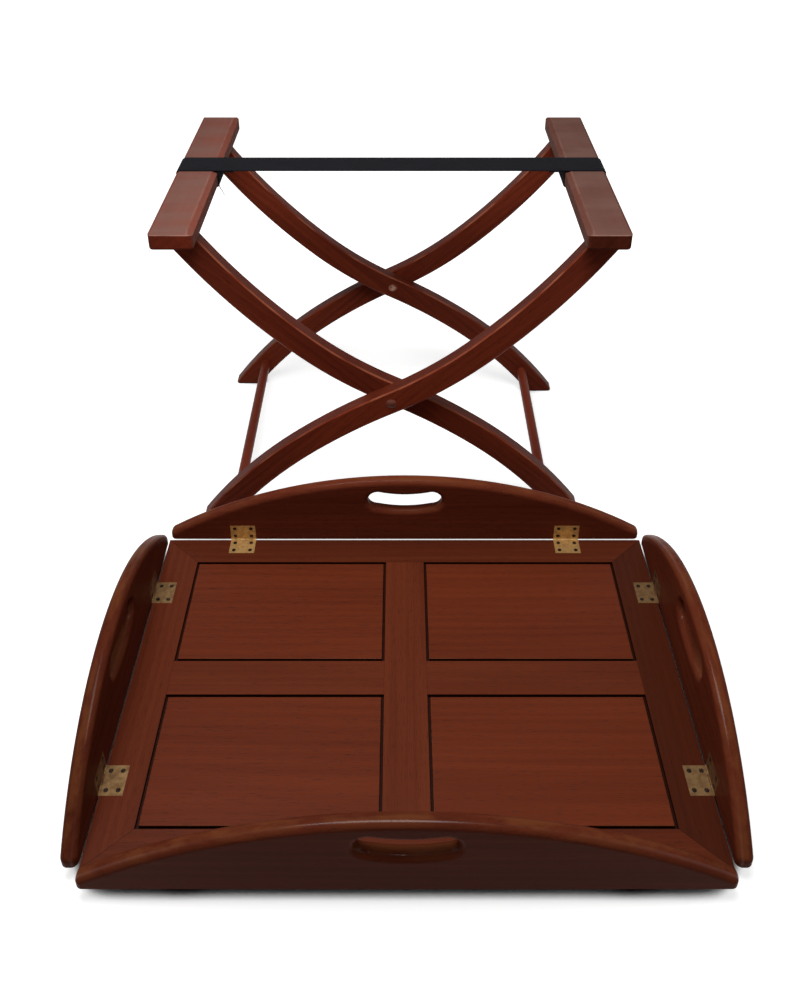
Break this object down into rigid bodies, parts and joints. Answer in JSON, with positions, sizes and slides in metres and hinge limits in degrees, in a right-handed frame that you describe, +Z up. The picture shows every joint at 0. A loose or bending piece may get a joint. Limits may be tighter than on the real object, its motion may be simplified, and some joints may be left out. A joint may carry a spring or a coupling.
{
  "type": "butlers tray table",
  "caption": "Folding stand of crossed S-curved legs with a webbing strap, and a panelled tray with hinged curved flaps with hand slots.",
  "frame": {"origin": "on the floor, under the middle of the box round the stand and the tray", "axes": "+Z up, +Y from the tray to the stand behind it, +X to the right seen from the front"},
  "size_m": [0.7768, 1.0226, 0.5382],
  "materials": {
    "mahogany": "satin reddish-brown polish",
    "mahogany_panel": "satin reddish-brown polish",
    "brass": "dull aged brass",
    "dark_steel": "darkened screws",
    "steel": "plain bolts",
    "webbing": "black woven webbing"
  },
  "bodies": {
    "stand_outer": {"right_rail": "mahogany", "outer_front_leg": "mahogany", "outer_rear_leg": "mahogany", "left_stretcher": "mahogany", "front_pivot_bolt": "steel", "rear_pivot_bolt": "steel", "front_pivot_cap": "mahogany", "rear_pivot_cap": "mahogany", "pivot_washers": "steel", "pivot_nuts": "steel", "right_strap_loop": "webbing", "strap_span": "webbing"},
    "stand_inner": {"left_rail": "mahogany", "inner_front_leg": "mahogany", "inner_rear_leg": "mahogany", "right_stretcher": "mahogany", "left_strap_loop": "webbing"},
    "tray": {"tray_front_rail": "mahogany", "tray_rear_rail": "mahogany", "tray_left_rail": "mahogany", "tray_right_rail": "mahogany", "centre_muntin": "mahogany", "left_cross_muntin": "mahogany", "right_cross_muntin": "mahogany", "rear_left_panel": "mahogany_panel", "rear_right_panel": "mahogany_panel", "front_left_panel": "mahogany_panel", "front_right_panel": "mahogany_panel", "deck_leaf_screws": "dark_steel", "rear_deck_leaf_a": "brass", "rear_deck_leaf_b": "brass", "rear_hinge_pins": "brass", "left_deck_leaf_a": "brass", "left_deck_leaf_b": "brass", "left_hinge_pins": "brass", "front_deck_leaf_a": "brass", "front_deck_leaf_b": "brass", "front_hinge_pins": "brass", "right_deck_leaf_a": "brass", "right_deck_leaf_b": "brass", "right_hinge_pins": "brass"},
    "rear_flap": {"rear_flap": "mahogany", "rear_flap_leaf_a": "brass", "rear_flap_leaf_b": "brass", "rear_flap_screws": "dark_steel"},
    "left_flap": {"left_flap": "mahogany", "left_flap_leaf_a": "brass", "left_flap_leaf_b": "brass", "left_flap_screws": "dark_steel"},
    "front_flap": {"front_flap": "mahogany", "front_flap_leaf_a": "brass", "front_flap_leaf_b": "brass", "front_flap_screws": "dark_steel"},
    "right_flap": {"right_flap": "mahogany", "right_flap_leaf_a": "brass", "right_flap_leaf_b": "brass", "right_flap_screws": "dark_steel"}
  },
  "joints": [
    {"name": "stand_fold", "type": "hinge", "parent": "stand_outer", "child": "stand_inner", "pos_m": [-0.0209, 0.28632, 0.2315], "axis": [0, 1, 0], "range_deg": [0, 75], "deforming": ["strap_span"]},
    {"name": "tray_lift", "type": "slide", "parent": "stand_outer", "child": "tray", "axis": [0, 0, 1], "range_m": [0, 0.7]},
    {"name": "rear_flap_hinge", "type": "hinge", "parent": "tray", "child": "rear_flap", "pos_m": [0, 0.01648, 0.022], "axis": [-1, 0, 0], "range_deg": [0, 90]},
    {"name": "left_flap_hinge", "type": "hinge", "parent": "tray", "child": "left_flap", "pos_m": [-0.3684, -0.23742, 0.022], "axis": [0, -1, 0], "range_deg": [0, 90]},
    {"name": "front_flap_hinge", "type": "hinge", "parent": "tray", "child": "front_flap", "pos_m": [0, -0.49133, 0.022], "axis": [1, 0, 0], "range_deg": [0, 90]},
    {"name": "right_flap_hinge", "type": "hinge", "parent": "tray", "child": "right_flap", "pos_m": [0.3684, -0.23742, 0.022], "axis": [0, 1, 0], "range_deg": [0, 90]}
  ]
}
